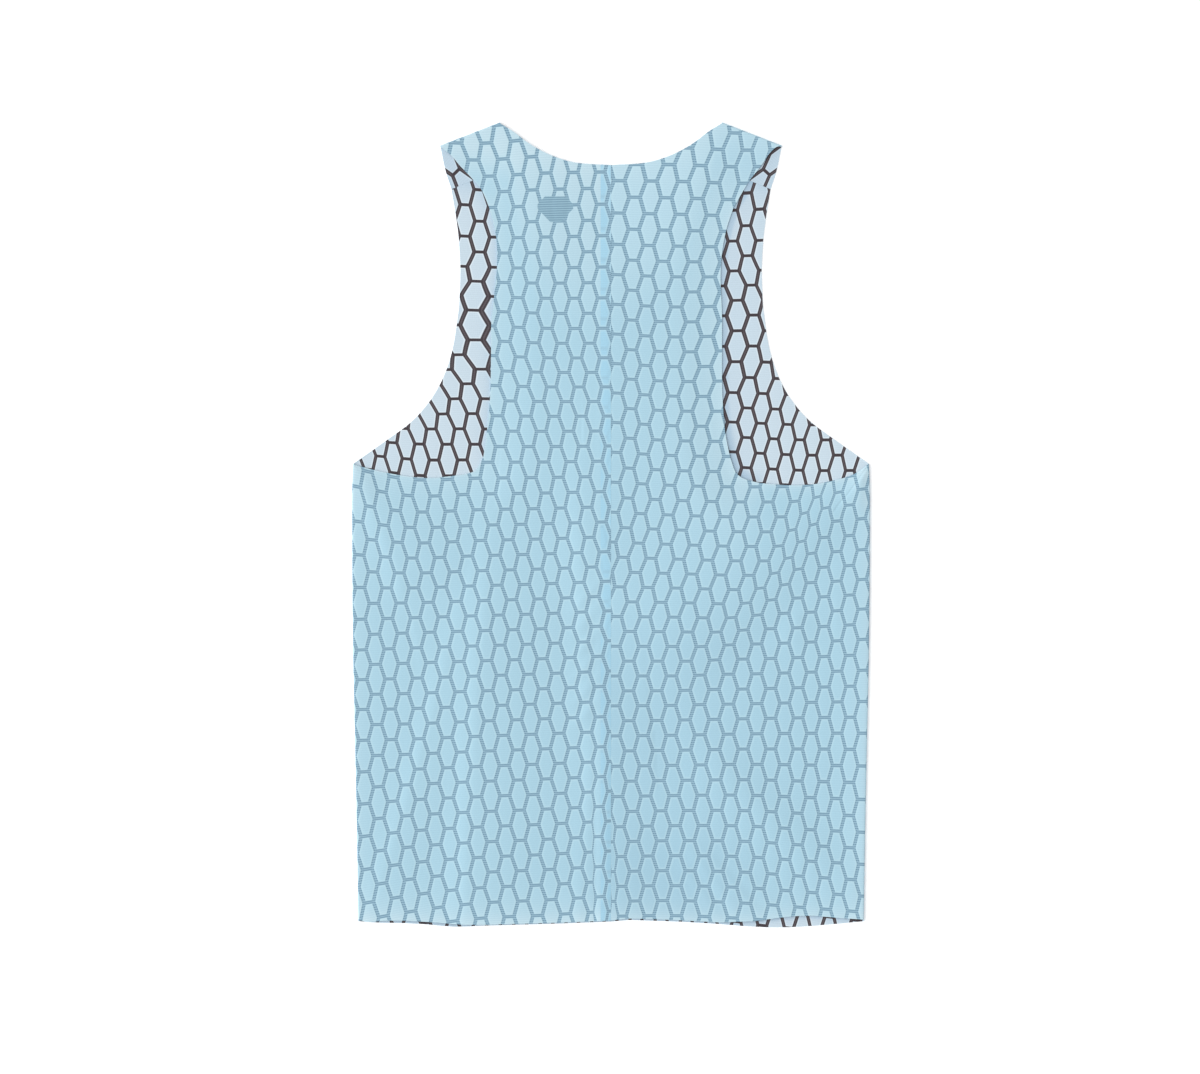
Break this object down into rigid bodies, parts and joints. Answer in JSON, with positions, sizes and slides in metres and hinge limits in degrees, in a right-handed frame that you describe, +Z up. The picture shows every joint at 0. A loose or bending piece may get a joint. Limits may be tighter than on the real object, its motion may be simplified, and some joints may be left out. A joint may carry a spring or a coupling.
{
  "type": "running singlet",
  "caption": "Sleeveless running singlet in hexagon-net cloth, laid flat with its back up: cut-in armholes, scooped neck, centre-back seam and forward shoulder seams.",
  "frame": {"origin": "bottom centre of the bounding box, on the surface that the singlet lies on", "axes": "+Y from the hem to the shoulders, +X to the right of the back as it is seen from above, +Z up from the surface"},
  "size_m": [0.4666, 0.7247, 0.0067],
  "materials": {
    "outer_side": "light blue ribbed knit with a darker blue-grey hexagon net, matt",
    "inner_side": "pale grey-blue inner side of the same knit with a near-black hexagon net, matt"
  },
  "bodies": {
    "root": {"front_panel": "inner_side", "back_left": "outer_side", "back_right": "outer_side"}
  },
  "joints": []
}
